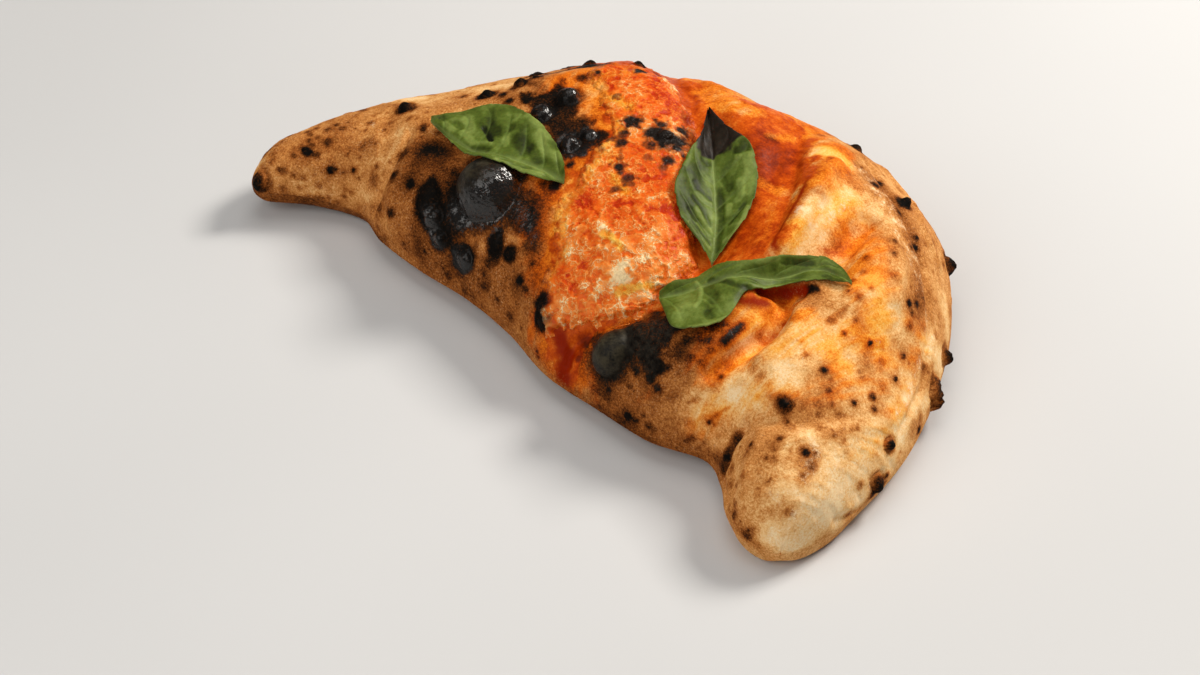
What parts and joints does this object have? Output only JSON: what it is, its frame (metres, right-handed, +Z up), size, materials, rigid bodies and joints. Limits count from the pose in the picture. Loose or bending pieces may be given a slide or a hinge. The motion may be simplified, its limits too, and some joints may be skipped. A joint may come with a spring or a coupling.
{
  "type": "calzone",
  "caption": "Baked folded pizza with a puffed, charred crust, tapering horns, melted cheese and tomato on top, and basil leaves.",
  "frame": {"origin": "middle of the bounding box in plan, on the flat base that rests on a plate or board", "axes": "+X from the left horn to the front horn, +Y from the folded inner side to the round outer side, +Z up"},
  "size_m": [0.305, 0.1854, 0.0671],
  "materials": {
    "crust": "matte baked dough, floury and charred in places",
    "topping": "glossy melted cheese with tomato",
    "basil_leaf_left": "satin fresh leaf",
    "basil_leaf_middle": "satin fresh leaf with a burnt tip",
    "basil_leaf_front": "satin fresh leaf"
  },
  "bodies": {
    "root": {"crust": "crust", "topping": "topping", "basil_leaf_left": "basil_leaf_left", "basil_leaf_middle": "basil_leaf_middle", "basil_leaf_front": "basil_leaf_front"}
  },
  "joints": []
}
